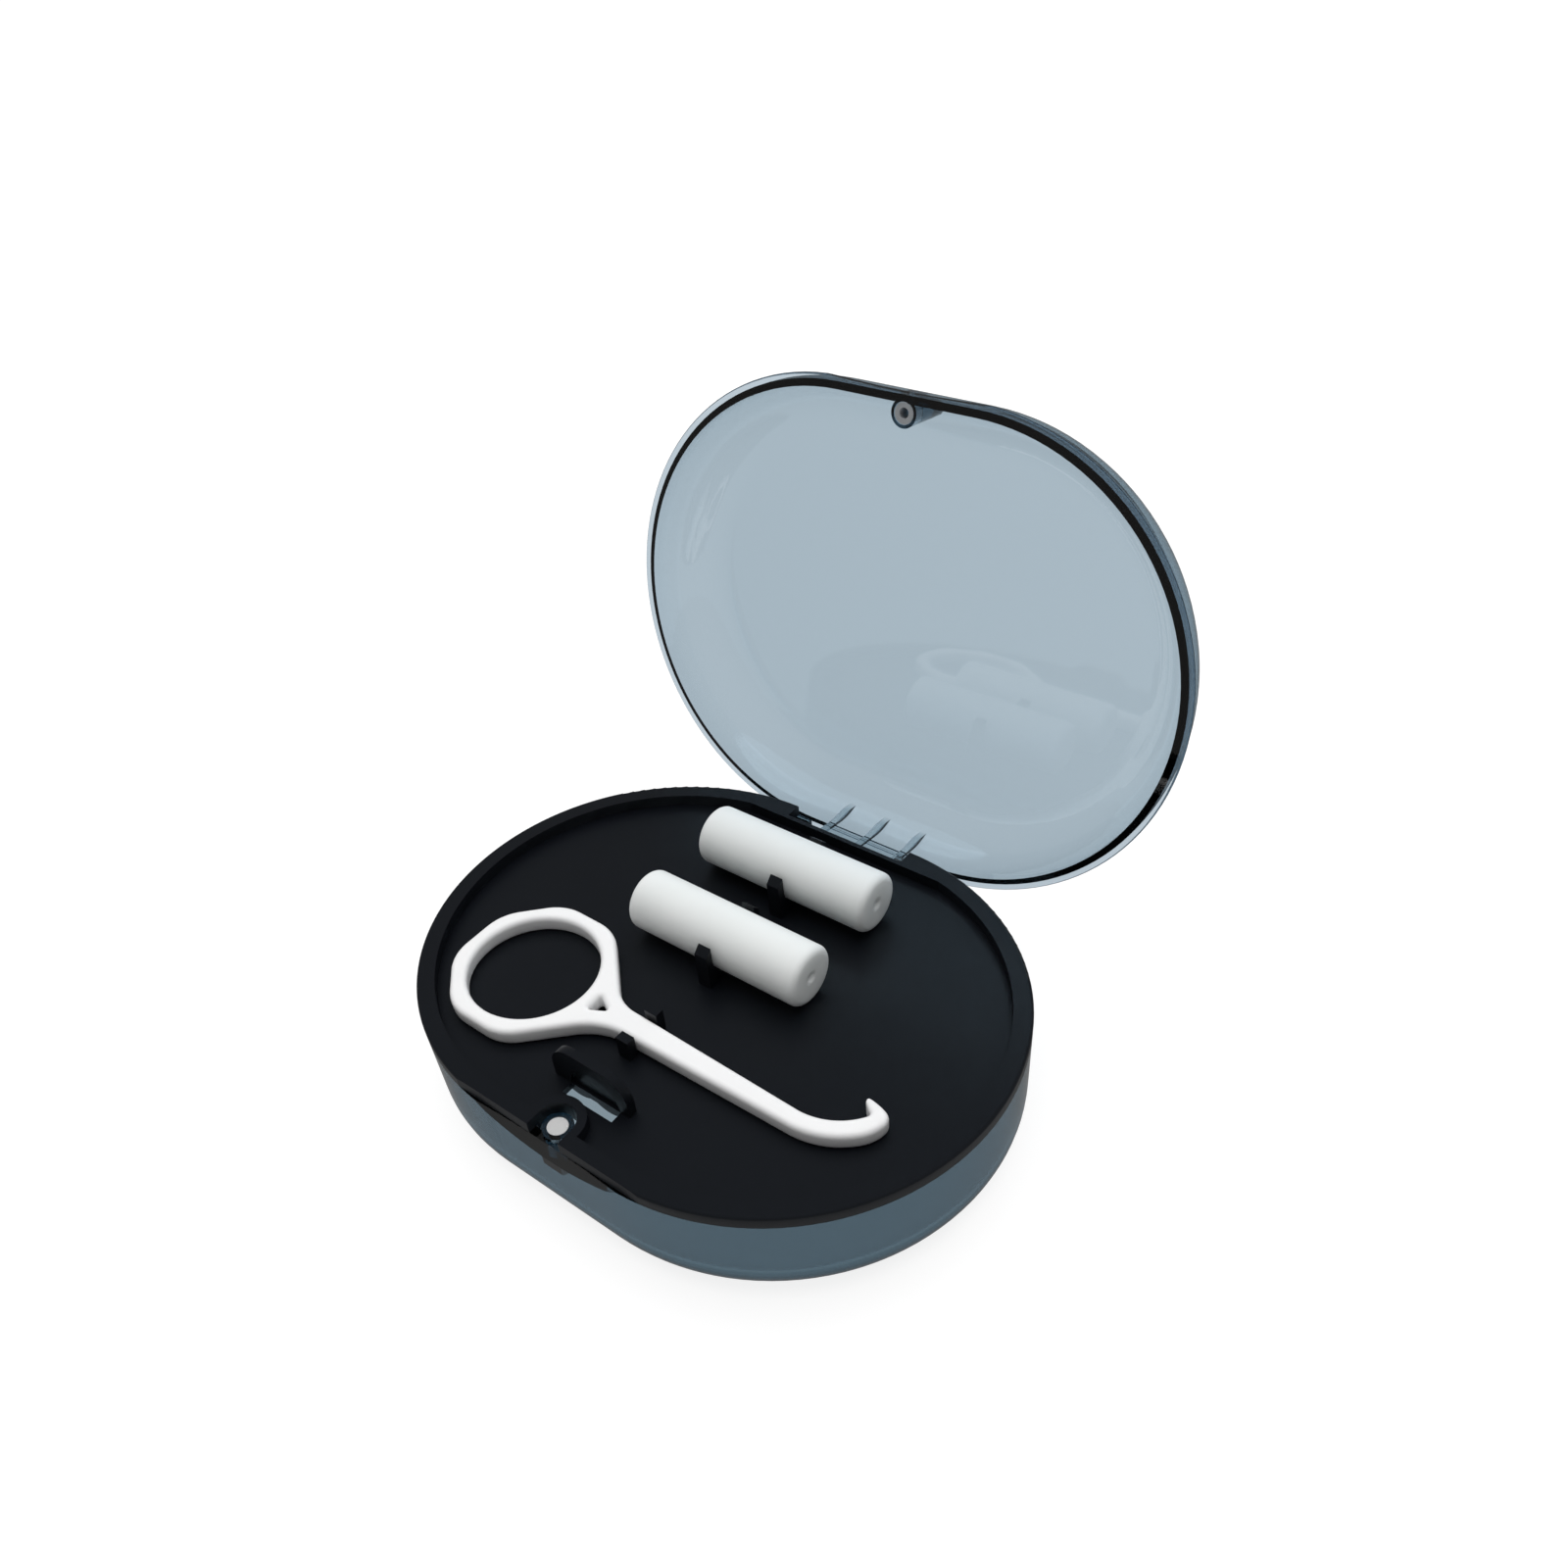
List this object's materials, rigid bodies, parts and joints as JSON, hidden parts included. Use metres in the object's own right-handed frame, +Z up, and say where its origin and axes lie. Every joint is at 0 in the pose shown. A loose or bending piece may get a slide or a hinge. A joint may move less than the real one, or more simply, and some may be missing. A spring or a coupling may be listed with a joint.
{
  "type": "denture case",
  "caption": "Flat oval hinged case with a see-through base and lid, a lift-out tray, magnets, bite rollers and a removal hook.",
  "frame": {"origin": "centre of the base's flat underside", "axes": "+X to the right seen from the front, +Y from the thumb scoop at the front to the hinge at the back, +Z up"},
  "size_m": [0.095, 0.0984, 0.0839],
  "materials": {
    "smoky_plastic": "clear smoky blue-grey, polished",
    "black_plastic": "black, fine matt",
    "pin_steel": "drawn wire",
    "magnet_nickel": "nickel plated",
    "roller_foam": "soft, satin white",
    "white_plastic": "satin white"
  },
  "bodies": {
    "base": {"base_shell": "smoky_plastic", "base_magnet": "magnet_nickel", "hinge_pin_left": "pin_steel", "hinge_pin_right": "pin_steel"},
    "lid": {"lid_shell": "smoky_plastic", "lid_magnet": "magnet_nickel"},
    "tray": {"inner_tray": "black_plastic"},
    "front_chewie": {"front_chewie": "roller_foam"},
    "rear_chewie": {"rear_chewie": "roller_foam"},
    "removal_tool": {"removal_tool": "white_plastic"}
  },
  "joints": [
    {"name": "lid_hinge", "type": "hinge", "parent": "base", "child": "lid", "pos_m": [0, 0.03517, 0.0142], "axis": [-1, 0, 0], "range_deg": [-100, 0]},
    {"name": "tray_lift", "type": "slide", "parent": "base", "child": "tray", "axis": [0, 0, 1], "range_m": [0, 0.03]},
    {"name": "front_chewie_lift", "type": "slide", "parent": "tray", "child": "front_chewie", "axis": [0, 0, 1], "range_m": [0, 0.015]},
    {"name": "rear_chewie_lift", "type": "slide", "parent": "tray", "child": "rear_chewie", "axis": [0, 0, 1], "range_m": [0, 0.015]},
    {"name": "tool_lift", "type": "slide", "parent": "tray", "child": "removal_tool", "axis": [0, 0, 1], "range_m": [0, 0.015]}
  ]
}
